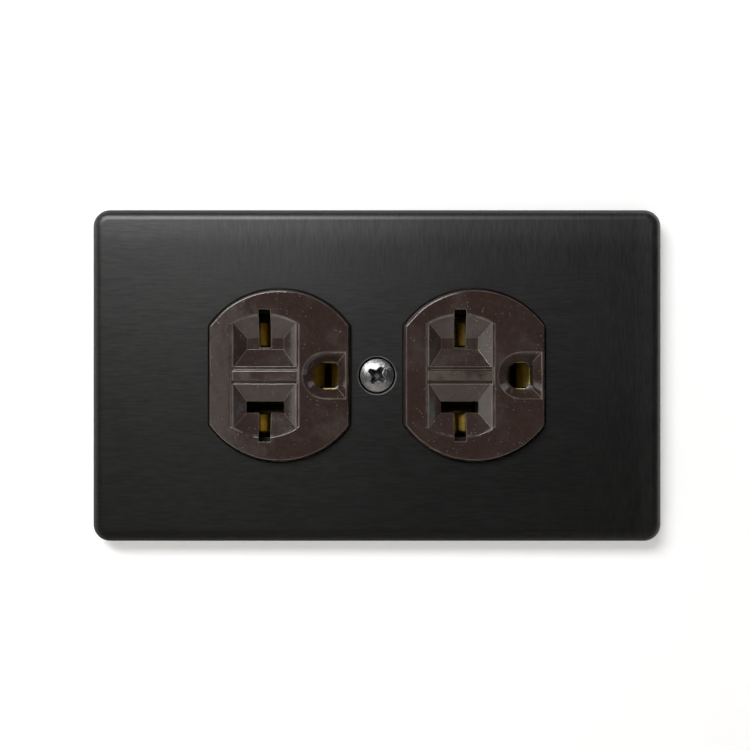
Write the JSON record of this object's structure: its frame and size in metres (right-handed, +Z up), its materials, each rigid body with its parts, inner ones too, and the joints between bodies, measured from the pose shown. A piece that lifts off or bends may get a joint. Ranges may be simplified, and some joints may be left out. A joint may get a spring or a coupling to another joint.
{
  "type": "duplex wall outlet",
  "caption": "Duplex wall outlet: black metal wall plate over a brown receptacle with tapered blade funnels, strap, contacts and screw terminals.",
  "frame": {"origin": "middle of the wall plate, on the wall's surface, midway between the two box screws", "axes": "+X along the plate with the grounding holes to the right, +Y into the wall box, +Z up"},
  "size_m": [0.1142, 0.0315, 0.0666],
  "materials": {
    "plate_black": "satin black over fine horizontal brushing",
    "nickel_plate": "bright nickel",
    "face_brown": "glossy moulded brown thermoset",
    "zinc_steel": "zinc plated",
    "housing_black": "moulded dark thermoset, satin",
    "brass": "rolled brass strip",
    "rivet_steel": "plated",
    "green_screw": "green dyed plating",
    "screw_steel": "zinc plated",
    "fibre_washer": "vulcanised fibre",
    "spring_bronze": "phosphor bronze",
    "clamp_steel": "zinc plated, ribbed",
    "brass_screw": "brass plated"
  },
  "bodies": {
    "device": {"face_cover": "face_brown", "mounting_strap": "zinc_steel", "rear_housing": "housing_black", "line_contact_upper": "brass", "line_contact_lower": "brass", "ground_contact_strip": "brass", "ground_rivets": "rivet_steel", "retainer_washer": "fibre_washer", "self_ground_clip": "spring_bronze", "assembly_screws": "screw_steel"},
    "wall_plate": {"wall_plate": "plate_black"},
    "plate_screw": {"plate_screw": "nickel_plate"},
    "box_screw_left": {"box_screw_left": "screw_steel"},
    "box_screw_right": {"box_screw_right": "screw_steel"},
    "terminal_clamp_upper_left": {"terminal_clamp_upper_left": "clamp_steel"},
    "terminal_screw_upper_left": {"terminal_screw_upper_left": "brass_screw"},
    "terminal_clamp_upper_right": {"terminal_clamp_upper_right": "clamp_steel"},
    "terminal_screw_upper_right": {"terminal_screw_upper_right": "brass_screw"},
    "terminal_clamp_lower_left": {"terminal_clamp_lower_left": "clamp_steel"},
    "terminal_screw_lower_left": {"terminal_screw_lower_left": "brass_screw"},
    "terminal_clamp_lower_right": {"terminal_clamp_lower_right": "clamp_steel"},
    "terminal_screw_lower_right": {"terminal_screw_lower_right": "brass_screw"},
    "ground_clamp": {"ground_clamp": "zinc_steel"},
    "ground_screw": {"ground_screw": "green_screw"}
  },
  "joints": [
    {"name": "plate_off", "type": "slide", "parent": "device", "child": "wall_plate", "axis": [0, -1, 0], "range_m": [0, 0.03]},
    {"name": "plate_screw_turn", "type": "hinge", "parent": "wall_plate", "child": "plate_screw", "pos_m": [0, -0.005, 0], "axis": [0, -1, 0], "continuous": true},
    {"name": "box_screw_left_turn", "type": "hinge", "parent": "device", "child": "box_screw_left", "pos_m": [-0.04167, 0, 0], "axis": [0, -1, 0], "continuous": true},
    {"name": "box_screw_right_turn", "type": "hinge", "parent": "device", "child": "box_screw_right", "pos_m": [0.04167, 0, 0], "axis": [0, -1, 0], "continuous": true},
    {"name": "clamp_upper_left_travel", "type": "slide", "parent": "device", "child": "terminal_clamp_upper_left", "axis": [0, 0, 1], "range_m": [0, 0.00238]},
    {"name": "terminal_upper_left_turn", "type": "hinge", "parent": "terminal_clamp_upper_left", "child": "terminal_screw_upper_left", "pos_m": [-0.0125, 0.0082, 0.0143], "axis": [0, 0, 1], "range_deg": [0, 1080]},
    {"name": "clamp_upper_right_travel", "type": "slide", "parent": "device", "child": "terminal_clamp_upper_right", "axis": [0, 0, 1], "range_m": [0, 0.00238]},
    {"name": "terminal_upper_right_turn", "type": "hinge", "parent": "terminal_clamp_upper_right", "child": "terminal_screw_upper_right", "pos_m": [0.0067, 0.0082, 0.0143], "axis": [0, 0, 1], "range_deg": [0, 1080]},
    {"name": "clamp_lower_left_travel", "type": "slide", "parent": "device", "child": "terminal_clamp_lower_left", "axis": [0, 0, -1], "range_m": [0, 0.00238]},
    {"name": "terminal_lower_left_turn", "type": "hinge", "parent": "terminal_clamp_lower_left", "child": "terminal_screw_lower_left", "pos_m": [-0.0125, 0.0082, -0.0143], "axis": [0, 0, -1], "range_deg": [0, 1080]},
    {"name": "clamp_lower_right_travel", "type": "slide", "parent": "device", "child": "terminal_clamp_lower_right", "axis": [0, 0, -1], "range_m": [0, 0.00238]},
    {"name": "terminal_lower_right_turn", "type": "hinge", "parent": "terminal_clamp_lower_right", "child": "terminal_screw_lower_right", "pos_m": [0.0067, 0.0082, -0.0143], "axis": [0, 0, -1], "range_deg": [0, 1080]},
    {"name": "ground_clamp_travel", "type": "slide", "parent": "device", "child": "ground_clamp", "axis": [0, 0, -1], "range_m": [0, 0.00238]},
    {"name": "ground_screw_turn", "type": "hinge", "parent": "ground_clamp", "child": "ground_screw", "pos_m": [0.0397, 0.006, -0.00875], "axis": [0, 0, -1], "range_deg": [0, 1080]}
  ],
  "couplings": [
    {"joint": "terminal_upper_left_turn", "follows": "clamp_upper_left_travel", "rad_per_m": 7913.3},
    {"joint": "terminal_upper_right_turn", "follows": "clamp_upper_right_travel", "rad_per_m": 7913.3},
    {"joint": "terminal_lower_left_turn", "follows": "clamp_lower_left_travel", "rad_per_m": 7913.3},
    {"joint": "terminal_lower_right_turn", "follows": "clamp_lower_right_travel", "rad_per_m": 7913.3},
    {"joint": "ground_screw_turn", "follows": "ground_clamp_travel", "rad_per_m": 7913.3}
  ]
}
